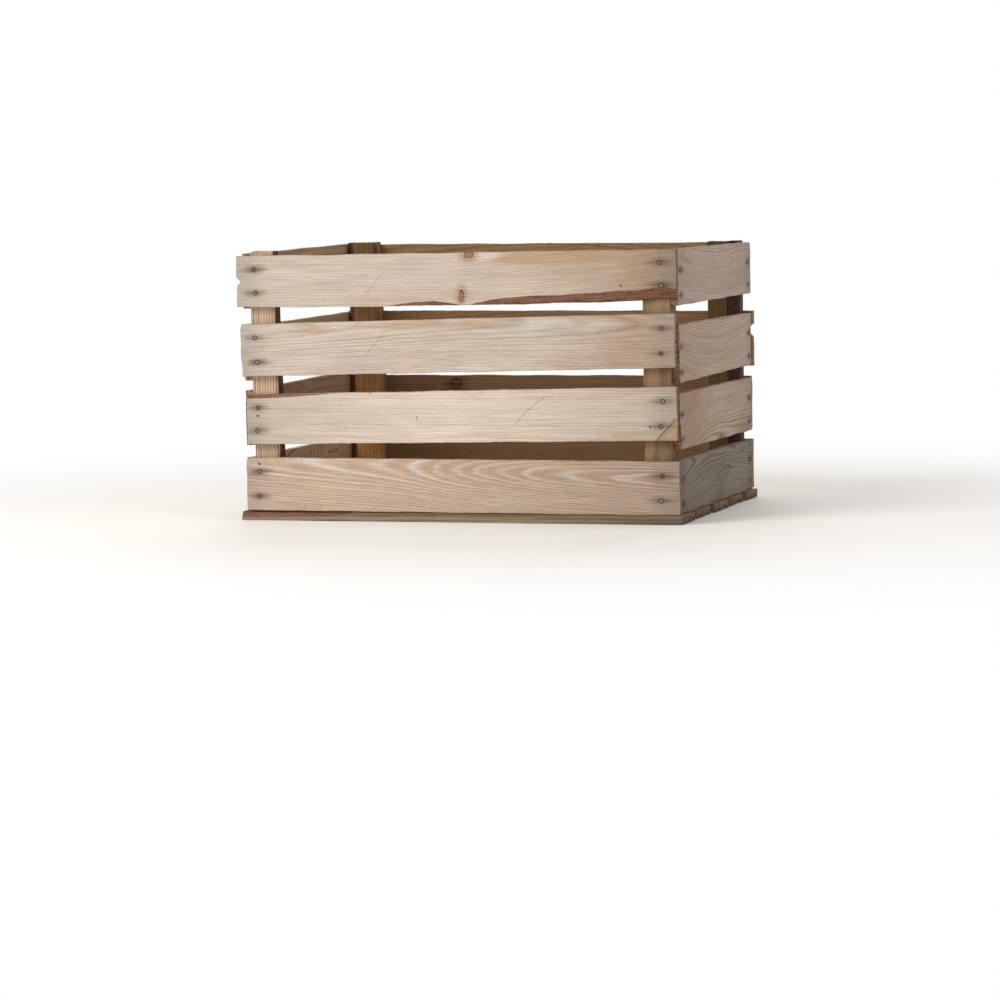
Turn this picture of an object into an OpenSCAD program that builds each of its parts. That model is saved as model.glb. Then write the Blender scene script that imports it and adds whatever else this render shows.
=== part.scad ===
// Slatted wooden fruit crate, nailed from rough-sawn softwood.
// The origin is under the middle of the floor. +X is to the right, +Y to the rear, +Z up.
// Lists of four run from the top slat of a wall to its bottom slat.

/* [Crate] */
// Length over the outer faces of the two end walls
crate_l = 500; // [360:1:700]
// Depth over the outer faces of the front and rear walls
crate_w = 360; // [260:1:500]
// Even level of the rim, above the surface the crate stands on
rim_h = 298; // [270:1:380]

/* [Wall slats] */
// Thickness of every wall slat
slat_t = 9; // [6:0.5:14]
// Nominal height of a wall slat, before each one's own trim
slat_h = 59; // [45:0.5:64]

/* [Front wall] */
// How far each slat's left end passes the end wall's outer face
front_over_left = [4, 1, -5, -3]; // [-8:0.5:8]
// How far each slat's right end passes the end wall's outer face
front_over_right = [0, -2, -1, 1.5]; // [-8:0.5:8]
// What each slat's height differs from nominal at its left end
front_trim_left = [-2, 0, -3, 0.5]; // [-6:0.5:6]
// What each slat's height differs from nominal at its right end
front_trim_right = [-6, 0, -0.5, -0.5]; // [-6:0.5:6]
// Shares of the free height that the three gaps take at the left end
front_gaps_left = [18.5, 19.5, 14]; // [5:0.5:30]
// Shares of the free height that the three gaps take at the right end
front_gaps_right = [15.5, 19.5, 22]; // [5:0.5:30]
// Height of the top slat's upper corners over the even rim, left and right
front_rim = [-3.5, -2]; // [-6:0.5:6]
// Clearance between the bottom slat and the floor, left and right
front_foot = [1, 0]; // [0:0.5:8]

/* [Rear wall] */
// How far each slat's left end passes the end wall's outer face
rear_over_left = [-1, 0, 1, -2]; // [-8:0.5:8]
// How far each slat's right end passes the end wall's outer face
rear_over_right = [-2, 2, -1, 0]; // [-8:0.5:8]
// What each slat's height differs from nominal at its left end
rear_trim_left = [2, 5, 3, -1]; // [-6:0.5:6]
// What each slat's height differs from nominal at its right end
rear_trim_right = [1, 6, 3, -1]; // [-6:0.5:6]
// Shares of the free height that the three gaps take at the left end
rear_gaps_left = [19, 14, 13]; // [5:0.5:30]
// Shares of the free height that the three gaps take at the right end
rear_gaps_right = [20, 11, 12]; // [5:0.5:30]
// Height of the top slat's upper corners over the even rim, left and right
rear_rim = [5, 1]; // [-6:0.5:6]
// Clearance between the bottom slat and the floor, left and right
rear_foot = [2, 1]; // [0:0.5:8]

/* [Right end wall] */
// What each slat's height differs from nominal at its front end
right_trim_front = [2.5, 4, 2, 1.5]; // [-6:0.5:6]
// What each slat's height differs from nominal at its rear end
right_trim_rear = [1, 2, 3, -0.5]; // [-6:0.5:6]
// Shares of the free height that the three gaps take at the front end
right_gaps_front = [20, 10.5, 9.5]; // [5:0.5:30]
// Shares of the free height that the three gaps take at the rear end
right_gaps_rear = [22.5, 14.5, 10.5]; // [5:0.5:30]
// Height of the top slat's upper corners over the even rim, front and rear
right_rim = [-2, 1]; // [-6:0.5:6]

/* [Left end wall] */
// What each slat's height differs from nominal at its front end
left_trim_front = [2.5, 2, 3, 1]; // [-6:0.5:6]
// What each slat's height differs from nominal at its rear end
left_trim_rear = [4, 2, 4, 3]; // [-6:0.5:6]
// Shares of the free height that the three gaps take at the front end
left_gaps_front = [19.5, 10, 13]; // [5:0.5:30]
// Shares of the free height that the three gaps take at the rear end
left_gaps_rear = [19, 10, 16]; // [5:0.5:30]
// Height of the top slat's upper corners over the even rim, front and rear
left_rim = [-1, 6]; // [-6:0.5:6]

/* [Corner posts] */
// Widths along the crate: front left, front right, rear left, rear right
post_w = [34, 31, 45, 36]; // [26:0.5:50]
// Depths across the crate, in the same order
post_d = [27, 26, 29, 28]; // [24:0.5:36]
// Heights of the post tops over the even rim, in the same order
post_rise = [1.5, -3.5, 7.5, 3]; // [-8:0.5:10]
// Missing edge, or wane, of the front left post on its outer front edge
wane_front_left = 4; // [1:0.5:6]
// Missing inner edge of the front left post
wane_inner_left = 17; // [4:0.5:18]
// Missing inner edge of the front right post
wane_inner_right = 7; // [2:0.5:16]
// Missing outer edge of the rear left post, beside the end wall
wane_rear_left = 9; // [2:0.5:10]
// Missing outer edge of the rear right post, beside the end wall
wane_rear_right = 14; // [4:0.5:15]
// How far the posts' other long edges are broken
edge_break = 0.5; // [0.1:0.1:1]

/* [Floor] */
// Thickness of the floor slats
floor_t = 10; // [7:0.5:16]
// Nominal width of a floor slat, before each one's own trim
floor_slat_w = 60; // [40:0.5:66]
// Width trims of the first four floor slats, from the front
floor_trim = [-4, 1, 8, -1]; // [-8:0.5:8]
// Width trim of the rear floor slat
floor_trim_rear = -4; // [-8:0.5:8]
// How far a floor slat passes the end walls
floor_over = 4; // [0:0.5:8]
// How much shorter the second and fourth floor slats are at each end
floor_short = 1.5; // [0:0.5:4]

/* [Nails] */
// Nail length, from the top of the head to the point
nail_l = 28; // [24:0.5:34]
// Nail shank diameter
shank_d = 2.2; // [1.6:0.1:2.6]
// Nail head diameter
head_d = 4.8; // [4:0.1:6.4]
// Nail head thickness
head_t = 1; // [0.6:0.1:1.6]
// How deep the heads are driven below the wood
head_sink = 0.3; // [0.1:0.1:0.8]
// Length of the nail's point
point_l = 3; // [2:0.5:5]
// Radial clearance of a nail in the wood
nail_gap = 0.1; // [0.05:0.05:0.2]
// Distance of the front and rear walls' nails from the posts' outer faces
wall_nail_in = 9; // [7:0.5:12]
// Distance of the end walls' nails from the posts' outer faces
end_nail_in = 12; // [10:0.5:14]
// Heights of a front slat's two nails, as shares of the slat's height
front_nail_at = [0.27, 0.73]; // [0.1:0.01:0.9]
// Heights of a rear slat's two nails, as shares of the slat's height
rear_nail_at = [0.33, 0.79]; // [0.1:0.01:0.9]
// Heights of an end wall slat's two nails, as shares of the slat's height
end_nail_at = [0.18, 0.62]; // [0.1:0.01:0.9]
// Most that a wall nail strays along its slat
nail_stray = 1.5; // [0:0.1:2]
// Spacing of the two nails at each end of an inner floor slat
floor_nail_pitch = 30; // [16:1:36]
// Distance of an outer floor slat's end wall nail from its inner edge
floor_nail_edge = 12; // [8:0.5:20]
// Distance of an outer floor slat's post nail from the post's two outer faces
post_nail_in = [15, 19]; // [8:0.5:20]

/* [Edges and breaks] */
// Height of the bark edge at the right end of the front top slat
bark_h = 11.5; // [8:0.5:16]
// Depth of that bark edge at the slat's lower edge
bark_d = 5; // [2:0.5:7]
// Distance from the slat's right end at which that bark edge has run out
bark_run = 229; // [150:1:300]
// Length of its steep start
bark_lead = 45; // [20:1:90]
// Height that it gains over that start
bark_lead_h = 5.5; // [3:0.5:7]
// Height of the bark edge at the left end of the third front slat
bark_low_h = 5; // [2:0.5:8]
// Depth of that bark edge at the slat's upper edge
bark_low_d = 3; // [1:0.5:5]
// Distance from the slat's left end at which that bark edge has run out
bark_low_run = 110; // [40:1:200]
// Radius of the broken notch in the front top slat's left end
notch_r = 3.2; // [1:0.1:5]
// Share of that slat's height at which the notch lies
notch_at = 0.47; // [0.3:0.01:0.65]
// Radius of the worn upper left corner of the front bottom slat
worn_r = 6; // [2:0.5:10]
// Height of the broken notch in the second rear slat's right end
break_h = 15; // [6:0.5:20]
// Depth of that notch
break_d = 4.5; // [2:0.5:8]
// Share of that slat's height at which that notch lies
break_at = 0.67; // [0.5:0.01:0.7]

/* [Hidden] */
$fn = 32;

ROWS = 4;
FLOOR_ROWS = 5;
// How far a cut runs past a face
past = 1;
// Free depth beyond a nail's point
hole_spare = 0.3;

half_l = crate_l / 2;
half_w = crate_w / 2;
// The posts' outer faces, which the slats' inner faces lie on
post_x = half_l - slat_t;
post_y = half_w - slat_t;

// A wall is [trims A, trims B, gap shares A, gap shares B, rim offsets at A and B,
// feet at A and B, positions of ends A and B, nail heights as shares, nail distance from the middle],
// and these are the places of its parts
GAPS = 2;
RIMS = 4;
FEET = 5;
ENDS = 6;
NAIL_AT = 7;
NAIL_U = 8;
FRONT = [front_trim_left, front_trim_right, front_gaps_left, front_gaps_right, front_rim,
         front_foot, [-half_l, half_l], front_nail_at, post_x - wall_nail_in];
REAR = [rear_trim_left, rear_trim_right, rear_gaps_left, rear_gaps_right, rear_rim,
        rear_foot, [-half_l, half_l], rear_nail_at, post_x - wall_nail_in];
RIGHT = [right_trim_front, right_trim_rear, right_gaps_front, right_gaps_rear, right_rim,
         [0, 0], [-post_y, post_y], end_nail_at, post_y - end_nail_in];
LEFT = [left_trim_front, left_trim_rear, left_gaps_front, left_gaps_rear, left_rim,
        [0, 0], [-post_y, post_y], end_nail_at, post_y - end_nail_in];

function sum(v, n) = n <= 0 ? 0 : v[n - 1] + sum(v, n - 1);
function mix(a, b, share) = a + (b - a) * share;

// Height of slat i at end e of a wall
function height_at(wall, i, e) = slat_h + wall[e][i];
function heights(wall, e) = [for (i = [0 : ROWS - 1]) height_at(wall, i, e)];
// Free height that a wall's gaps share at end e
function free_at(wall, e) =
  rim_h + wall[RIMS][e] - floor_t - wall[FEET][e] - sum(heights(wall, e), ROWS);
// Level of slat i's lower edge at end e
function level_at(wall, i, e) =
  rim_h + wall[RIMS][e] - sum(heights(wall, e), i + 1)
  - free_at(wall, e) * sum(wall[GAPS + e], i) / sum(wall[GAPS + e], ROWS - 1);
// Share of the way from end A to end B at u
function share_at(wall, u) = (u - wall[ENDS][0]) / (wall[ENDS][1] - wall[ENDS][0]);
// Level of slat i's lower edge, its height, and the level of its upper edge, at u
function lower(wall, i, u) = mix(level_at(wall, i, 0), level_at(wall, i, 1), share_at(wall, u));
function tall(wall, i, u) = mix(height_at(wall, i, 0), height_at(wall, i, 1), share_at(wall, u));
function upper(wall, i, u) = lower(wall, i, u) + tall(wall, i, u);

// Outline of the broken notch, as shares of its depth inwards and of its height
BREAK = [[1, -0.6], [-1, -0.3], [-0.9, 0.25], [1, 0.4]];

// Hand-driven nails stray a little along the slat, by chosen shares of the most
STRAYS = [0.3, -0.7, 1, -0.2, 0.6, -1, 0.1, 0.8, -0.5];
function stray(n) = nail_stray * STRAYS[n % len(STRAYS)];
// The nails of slat i as [u, level], two at end A and two at end B
function nails_of(wall, i) = [
  for (e = [0, 1], k = [0, 1])
    let (u = (e == 0 ? -1 : 1) * wall[NAIL_U] + stray(4 * i + 2 * e + k))
    [u, lower(wall, i, u) + tall(wall, i, u) * wall[NAIL_AT][k]]
];

// Floor slats, from the front
floor_widths = [for (j = [0 : FLOOR_ROWS - 1])
  floor_slat_w + (j < len(floor_trim) ? floor_trim[j] : floor_trim_rear)];
floor_gap = (crate_w - sum(floor_widths, FLOOR_ROWS)) / (FLOOR_ROWS - 1);
function floor_y(j) = -half_w + sum(floor_widths, j) + j * floor_gap;
function floor_end(j) = half_l + floor_over - (j % 2 == 1 ? floor_short : 0);
// Middle of the end walls' thickness, where the floor nails enter them
end_mid_x = half_l - slat_t / 2;
// Floor nails of slat j on one end, as [x, y]
function floor_nails_of(j) =
  j == 0 ? [[post_x - post_nail_in[0], -post_y + post_nail_in[1]],
            [end_mid_x, floor_y(0) + floor_widths[0] - floor_nail_edge]]
  : j == FLOOR_ROWS - 1 ? [[post_x - post_nail_in[0], post_y - post_nail_in[1]],
                           [end_mid_x, floor_y(j) + floor_nail_edge]]
  : [for (s = [-1, 1]) [end_mid_x, floor_y(j) + floor_widths[j] / 2 + s * floor_nail_pitch / 2]];

// The walls' frames: X along the wall, Y inwards from its outer face, Z up
module on_front() translate([0, -half_w, 0]) children();
module on_rear() translate([0, half_w, 0]) mirror([0, 1, 0]) children();
module on_right() translate([half_l, 0, 0]) rotate([0, 0, 90]) children();
module on_left() translate([-half_l, 0, 0]) mirror([1, 0, 0]) rotate([0, 0, 90]) children();

// A nail driven along +Z, with its head sunk below z = 0
module nail() {
  translate([0, 0, head_sink]) cylinder(h = head_t, d = head_d);
  translate([0, 0, head_sink]) cylinder(h = nail_l - point_l, d = shank_d);
  translate([0, 0, head_sink + nail_l - point_l]) cylinder(h = point_l, d1 = shank_d, d2 = shank_d / 4);
}

// The hole that a nail fills, open at z = 0
module nail_hole() {
  translate([0, 0, -past]) cylinder(h = past + head_sink + head_t, d = head_d + 2 * nail_gap);
  translate([0, 0, -past])
    cylinder(h = past + head_sink + nail_l + hole_spare, d = shank_d + 2 * nail_gap);
}

// Stands a nail or its hole at [u, level] in a wall's frame
module driven_at(place) translate([place[0], 0, place[1]]) rotate([-90, 0, 0]) children();

module wall_nails(wall) {
  for (i = [0 : ROWS - 1], place = nails_of(wall, i)) driven_at(place) nail();
}

// The holes at one end of a wall: side is -1 at end A and 1 at end B
module wall_holes(wall, side) {
  for (i = [0 : ROWS - 1], place = nails_of(wall, i))
    if (place[0] * side > 0) driven_at(place) nail_hole();
}

// Slat i of a wall, between u0 and u1, in the wall's frame, with its nail holes
module slat(wall, i, u0, u1) {
  difference() {
    translate([0, slat_t, 0]) rotate([90, 0, 0]) linear_extrude(slat_t)
      polygon([
        [u0, lower(wall, i, u0)], [u1, lower(wall, i, u1)],
        [u1, upper(wall, i, u1)], [u0, upper(wall, i, u0)]
      ]);
    for (place = nails_of(wall, i)) driven_at(place) nail_hole();
  }
}

// What a missing edge leaves out of a slat's outer face: all that lies to the right of the line
// from p to q, as [u, level], and slopes inwards by slope
module wane(p, q, slope) {
  reach = crate_l;
  translate([p[0], 0, p[1]]) rotate([0, -atan2(q[1] - p[1], q[0] - p[0]), 0]) rotate([90, 0, 90])
    translate([0, 0, -reach]) linear_extrude(2 * reach)
      polygon([[-past, past / slope], [-past, -reach], [slope * reach, -reach]]);
}

// The bark edge rises steeply over its lead, then gently to the right end u1
module bark_edge(u1) {
  u = u1 - bark_run;
  turn = [u + bark_lead, lower(FRONT, 0, u + bark_lead) + bark_lead_h];
  intersection() {
    wane([u, lower(FRONT, 0, u)], turn, bark_d / bark_h);
    wane(turn, [u1, lower(FRONT, 0, u1) + bark_h], bark_d / bark_h);
  }
}

module front_slat(i) {
  u0 = -half_l - front_over_left[i];
  u1 = half_l + front_over_right[i];
  color([0.82, 0.74, 0.66]) on_front() difference() {
    slat(FRONT, i, u0, u1);
    if (i == 0) {
      bark_edge(u1);
      driven_at([u0 + notch_r / 2, lower(FRONT, 0, u0) + notch_at * tall(FRONT, 0, u0)])
        translate([0, 0, -past]) cylinder(h = slat_t + 2 * past, r = notch_r);
    }
    if (i == 2)
      wane([u0 + bark_low_run, upper(FRONT, 2, u0 + bark_low_run)],
           [u0, upper(FRONT, 2, u0) - bark_low_h], bark_low_d / bark_low_h);
    if (i == 3) worn_corner(u0, upper(FRONT, 3, u0));
  }
}

// Cuts an upper left corner round, at [u, level] in the front wall's frame
module worn_corner(u, level) {
  translate([u, slat_t + past, level]) rotate([90, 0, 0]) linear_extrude(slat_t + 2 * past)
    difference() {
      translate([-past, -worn_r]) square([worn_r + past, worn_r + past]);
      translate([worn_r, -worn_r]) circle(worn_r);
    }
}

module rear_slat(i) {
  u0 = -half_l - rear_over_left[i];
  u1 = half_l + rear_over_right[i];
  color([0.62, 0.5, 0.36]) on_rear() difference() {
    slat(REAR, i, u0, u1);
    if (i == 1)
      translate([u1, slat_t + past, lower(REAR, 1, u1) + break_at * tall(REAR, 1, u1)])
        rotate([90, 0, 0]) linear_extrude(slat_t + 2 * past)
          polygon([for (p = BREAK) [p[0] > 0 ? past : p[0] * break_d, p[1] * break_h]]);
  }
}

module right_slat(i) color([0.66, 0.59, 0.53]) on_right() slat(RIGHT, i, -post_y, post_y);

module left_slat(i) color([0.64, 0.56, 0.48]) on_left() slat(LEFT, i, -post_y, post_y);

// A post's outline in plan, its outer corner at the origin and its body towards +X and +Y.
// The wanes cut the outer front, outer rear, inner rear and inner front corners.
module post_outline(w, d, wanes) {
  polygon([
    [0, wanes[0]], [wanes[0], 0], [w - wanes[3], 0], [w, wanes[3]],
    [w, d - wanes[2]], [w - wanes[2], d], [wanes[1], d], [0, d - wanes[1]]
  ]);
}

// Post p in the order of post_w. side_x and side_y are -1 or 1 towards its corner.
module post(p, side_x, side_y, wanes) {
  difference() {
    translate([side_x * post_x, side_y * post_y, floor_t])
      mirror([side_x > 0 ? 1 : 0, 0, 0]) mirror([0, side_y > 0 ? 1 : 0, 0])
        linear_extrude(rim_h + post_rise[p] - floor_t) post_outline(post_w[p], post_d[p], wanes);
    if (side_y < 0) on_front() wall_holes(FRONT, side_x);
    else on_rear() wall_holes(REAR, side_x);
    if (side_x < 0) on_left() wall_holes(LEFT, side_y);
    else on_right() wall_holes(RIGHT, side_y);
    floor_holes();
  }
}

module post_front_left()
  color([0.8, 0.68, 0.5]) post(0, -1, -1, [wane_front_left, edge_break, wane_inner_left, edge_break]);
module post_front_right()
  color([0.8, 0.68, 0.5]) post(1, 1, -1, [edge_break, edge_break, wane_inner_right, edge_break]);
module post_rear_left()
  color([0.55, 0.4, 0.22]) post(2, -1, 1, [edge_break, wane_rear_left, edge_break, edge_break]);
module post_rear_right()
  color([0.55, 0.4, 0.22]) post(3, 1, 1, [edge_break, wane_rear_right, edge_break, edge_break]);

// Puts a nail or a hole, driven upwards, at each floor nail's place on both ends
module each_floor_nail() {
  for (j = [0 : FLOOR_ROWS - 1], place = floor_nails_of(j), side = [-1, 1])
    translate([side * place[0], place[1], 0]) children();
}

module floor_holes() each_floor_nail() nail_hole();

module floor_slat(j) {
  color([0.58, 0.5, 0.42]) difference() {
    translate([-floor_end(j), floor_y(j), 0]) cube([2 * floor_end(j), floor_widths[j], floor_t]);
    floor_holes();
  }
}

module front_nails() color([0.42, 0.24, 0.18]) on_front() wall_nails(FRONT);
module rear_nails() color([0.42, 0.24, 0.18]) on_rear() wall_nails(REAR);
module right_nails() color([0.42, 0.24, 0.18]) on_right() wall_nails(RIGHT);
module left_nails() color([0.42, 0.24, 0.18]) on_left() wall_nails(LEFT);
module floor_nails() color([0.42, 0.24, 0.18]) each_floor_nail() nail();

// The floor nails also enter the end walls' bottom slats
module bored_from_below() {
  difference() {
    children();
    floor_holes();
  }
}

for (i = [0 : ROWS - 1]) {
  front_slat(i);
  rear_slat(i);
  bored_from_below() right_slat(i);
  bored_from_below() left_slat(i);
}
post_front_left();
post_front_right();
post_rear_left();
post_rear_right();
for (j = [0 : FLOOR_ROWS - 1])
  floor_slat(j);
front_nails();
rear_nails();
right_nails();
left_nails();
floor_nails();
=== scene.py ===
"""A slatted wooden fruit crate: rough-sawn spruce slats, corner posts with bark edges, and rusty wire nails.

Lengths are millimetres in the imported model's frame, unless a comment says otherwise: X runs along the
crate, Y from the front wall to the rear wall, and Z up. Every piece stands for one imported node.
"""
import logging
import math
from dataclasses import dataclass, field, replace
from enum import Enum
from typing import Any, Optional, Sequence

import bpy
import numpy as np
from mathutils import Matrix, Vector


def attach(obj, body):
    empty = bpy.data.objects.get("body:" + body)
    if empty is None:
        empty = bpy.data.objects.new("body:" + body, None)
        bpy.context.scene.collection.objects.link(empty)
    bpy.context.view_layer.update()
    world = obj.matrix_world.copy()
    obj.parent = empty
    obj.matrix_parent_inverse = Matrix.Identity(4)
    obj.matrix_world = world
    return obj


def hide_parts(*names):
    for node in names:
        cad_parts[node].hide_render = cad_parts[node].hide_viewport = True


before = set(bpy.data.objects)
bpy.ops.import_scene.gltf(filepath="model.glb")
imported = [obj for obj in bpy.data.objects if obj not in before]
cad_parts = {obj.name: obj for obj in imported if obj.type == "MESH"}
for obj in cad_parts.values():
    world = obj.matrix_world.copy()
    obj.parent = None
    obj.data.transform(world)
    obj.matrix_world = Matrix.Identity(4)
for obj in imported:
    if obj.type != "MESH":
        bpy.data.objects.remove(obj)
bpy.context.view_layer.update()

LOG = logging.getLogger("crate")
# Metres in a millimetre
MM = 0.001
# Far enough from a mark for it not to show
NOWHERE = 99.0
# How far a mark shows: a knot in its own radii, a nail's stain across the grain, and a scar
KNOT_REACH = 3.6
STAIN_REACH = 11.0
SCAR_REACH = 4.0
# How many times longer a nail's stain is along the grain than across it
STAIN_LENGTH = 3
# A face whose normal lies along the grain by more than this is a sawn end
END_FACING = 0.7

# Shader nodes that the finishes use again and again, with their settings
TIMES = {"kind": "Math", "operation": "MULTIPLY"}
PLUS = {"kind": "Math", "operation": "ADD"}
SIZE_OF = {"kind": "Math", "operation": "ABSOLUTE"}
WAVE = {"kind": "Math", "operation": "SINE"}
SCALED = {"kind": "VectorMath", "operation": "MULTIPLY"}
LENGTH = {"kind": "VectorMath", "operation": "LENGTH", "out": "Value"}
SPLIT = {"kind": "SeparateXYZ"}
EASE = {"kind": "MapRange", "interpolation_type": "SMOOTHSTEP"}
BLEND = {"kind": "Mix", "data_type": "RGBA", "sockets": (0, 6, 7), "out": 2}

Array = np.ndarray
Pair = tuple[float, float]
Triple = tuple[float, float, float]
Run = tuple[Pair, ...]
Colour = tuple[float, float, float, float]


def linear(srgb: str) -> Colour:
    """Turn a colour as it is seen into the linear colour that a shader takes.

    Args:
        srgb: The colour as a hex value, such as "#d5c4b0".

    Returns:
        Linear red, green and blue, and an alpha of 1.
    """
    channels = [int(srgb[i:i + 2], 16) / 255 for i in (1, 3, 5)]
    red, green, blue = [c / 12.92 if c <= 0.04045 else ((c + 0.055) / 1.055) ** 2.4 for c in channels]
    return red, green, blue, 1.0


class Graph:
    """The node tree of one material or of the world."""

    def __init__(self, owner: Any) -> None:
        """Empty the node tree of owner, a material or a world."""
        owner.use_nodes = True
        self.tree = owner.node_tree
        self.tree.nodes.clear()

    def add(self, *inputs: Any, kind: str, sockets: Sequence = (), named: Optional[dict] = None,
            out: Any = 0, ramp: Sequence[tuple[float, Colour]] = (), **settings: Any) -> Any:
        """Add a shader node with its settings and links.

        Args:
            inputs: What goes into the sockets, in order. A socket is linked, and anything else is a value.
            kind: The node's type, without its "ShaderNode" prefix.
            sockets: Numbers of the sockets that the inputs go to, where they aren't the first ones.
            named: More inputs, by the name of their socket.
            out: The name or index of the output to hand back.
            ramp: Places and colours of a colour ramp's stops, from first to last.
            settings: The node's own properties.

        Returns:
            The output socket, or None for a node that has none.
        """
        node = self.tree.nodes.new("ShaderNode" + kind)
        for name, value in settings.items():
            setattr(node, name, value)
        for number, (place, colour) in enumerate(ramp):
            stops = node.color_ramp.elements
            stop = stops[number] if number < len(stops) else stops.new(place)
            stop.position = place
            stop.color = colour
        for key, value in [*zip(sockets or range(len(inputs)), inputs), *(named or {}).items()]:
            if isinstance(value, bpy.types.NodeSocket):
                self.tree.links.new(value, node.inputs[key])
            else:
                node.inputs[key].default_value = value
        return node.outputs[out] if node.outputs else None


@dataclass(frozen=True)
class SawnSpruce:
    """Rough-sawn spruce, dry and weathered: matt, with growth rings, torn fibres and slanting saw marks."""

    name: str
    pale: str
    tan: str
    late: str
    grey: str
    inner: str
    # Width of a growth ring
    ring: float = 2.3
    # How strongly the late wood of a ring stands out
    contrast: float = 0.5
    # How grey the weathered skin has gone
    weathering: float = 0.30
    # How much the sides that look into the crate have browned
    browning: float = 0.85
    # How strongly the knots are coloured
    knot_tint: float = 0.9
    # Brown bark of the spruce, and the darker blotches in it
    bark: str = "#94674f"
    bark_dark: str = "#6a463a"
    # The sawn ends soak up dirt and are dark, and their torn fibres show golden
    end: str = "#5f4230"
    torn: str = "#ac8660"

    def dress(self) -> tuple[Any, Any]:
        """Make the materials of the sawn faces and of the sawn ends."""
        return SpruceSkin(self, False).draw(), SpruceSkin(self, True).draw()


class SpruceSkin(Graph):
    """The node tree of sawn spruce, whose methods take sockets and hand sockets back.

    It reads vertex attributes in millimetres: log is the place in the tree with the pith along X, knot,
    nail and scar are places relative to the nearest such mark, place holds the distances to the nearest
    end and long edge and the share of the thickness, tone holds the painted light and shade, the warmth
    and the strength of the rings, and wane grows into the bark.
    """

    def __init__(self, wood: SawnSpruce, end_grain: bool) -> None:
        """Start the material of the wood's faces or of its ends, and read the vertex attributes.

        Args:
            wood: The finish.
            end_grain: True for the sawn ends.
        """
        self.wood = wood
        self.end_grain = end_grain
        self.material = bpy.data.materials.new(wood.name + ("_end_grain" if end_grain else ""))
        super().__init__(self.material)
        self.log, self.knot, self.nail, self.scar, self.place, self.tone = (
            self.add(kind="Attribute", out="Vector", attribute_name=name)
            for name in ("log", "knot", "nail", "scar", "place", "tone"))

    def streaks(self, size: Pair, detail: float = 2.0, ease: tuple[float, ...] = ()) -> Any:
        """Draw noise whose blotches have a given length along the grain and a given width across it.

        Args:
            size: Length and width of a blotch.
            detail: Number of finer octaves.
            ease: Two values of the noise between which it is stretched, and what they are stretched to,
                where that isn't 0 and 1.

        Returns:
            The noise, which is about 0.5 in the middle before it is stretched.
        """
        length, width = size
        scaled = self.add(self.log, (1 / length, 1 / width, 1 / width), **SCALED)
        noise = self.add(kind="TexNoise", named={"Vector": scaled, "Scale": 1.0, "Detail": detail})
        return self.add(noise, *ease, **EASE) if ease else noise

    def rings(self) -> Any:
        """Draw the growth rings, bent round the knots.

        Returns:
            The late wood, from 0 to 1.
        """
        add = self.add
        radius = add(add(self.log, (0.0, 1.0, 1.0), **SCALED), **LENGTH)
        path = add(radius, add(self.knot, **SPLIT | {"out": "Z"}), **PLUS)
        for size, height in (((190, 60), 4.0), ((26, 10), 0.9), ((6, 2), 0.35)):
            path = add(path, add(self.streaks(size, 1.0), height, **TIMES), **PLUS)
        uneven = add(kind="TexNoise", noise_dimensions="1D",
                     named={"W": add(path, 1 / 17, **TIMES), "Scale": 1.0, "Detail": 1.0})
        count = add(add(path, 1 / self.wood.ring, **TIMES), add(uneven, 1.6, **TIMES), **PLUS)
        share = add(count, kind="Math", operation="FRACT")
        number = add(count, kind="Math", operation="FLOOR")
        chance = add(kind="TexWhiteNoise", noise_dimensions="1D", named={"W": number})
        shape = ((0.0, 0.3), (0.2, 0.0), (0.5, 0.15), (0.8, 1.0), (1.0, 0.3))
        late = add(share, kind="ValToRGB", ramp=[(place, (level,) * 3 + (1.0,)) for place, level in shape])
        return add(late, add(chance, 0.0, 1.0, 0.45, 1.0, **EASE), **TIMES)

    def draw(self) -> Any:
        """Draw the wood, its marks, its bark and its relief.

        Returns:
            The finished material.
        """
        add, wood = self.add, self.wood
        late = self.rings()
        painted_light, warm, figure = (add(self.tone, **SPLIT | {"out": axis}) for axis in "XYZ")
        from_end, from_edge, depth = (add(self.place, **SPLIT | {"out": axis}) for axis in "XYZ")

        # Warm patches some 150 mm long, as the wood dried unevenly
        patch = add(add(self.streaks((150, 11), 3.0), 0.6, **TIMES), warm, **PLUS)
        colour = add(add(patch, 0.14, 0.78, **EASE), linear(wood.pale), linear(wood.tan), **BLEND)
        stripes = add(add(late, figure, **TIMES), wood.contrast, **TIMES)
        colour = add(stripes, colour, linear(wood.late), **BLEND)
        # The side that looks into the crate has kept its brown
        inner = add(stripes, linear(wood.inner), linear("#5a4028"), **BLEND)
        colour = add(add(depth, 0.35, 0.75, 0.0, wood.browning, **EASE), colour, inner, **BLEND)
        # Grey skin in soft patches, and more of it near the ends where water got in
        cloud = self.streaks((75, 12), 4.0, (0.30, 0.85, 0.0, wood.weathering))
        greyed = add(cloud, add(from_end, 2.0, 40.0, 0.40, 0.0, **EASE), **PLUS)
        greyed = add(greyed, add(depth, 0.2, 0.8, 1.0, 0.15, **EASE), **TIMES)
        colour = add(greyed, colour, linear(wood.grey), **BLEND)
        if self.end_grain:
            tufts = self.streaks((3.0, 2.6), 3.0, (0.38, 0.64))
            colour = add(0.85, colour, add(tufts, linear(wood.end), linear(wood.torn), **BLEND), **BLEND)

        # Fibres are under 0.1 mm wide. They are drawn as streaks 1.2 mm wide, so that they show
        fibre = self.streaks((55, 1.2))
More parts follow.
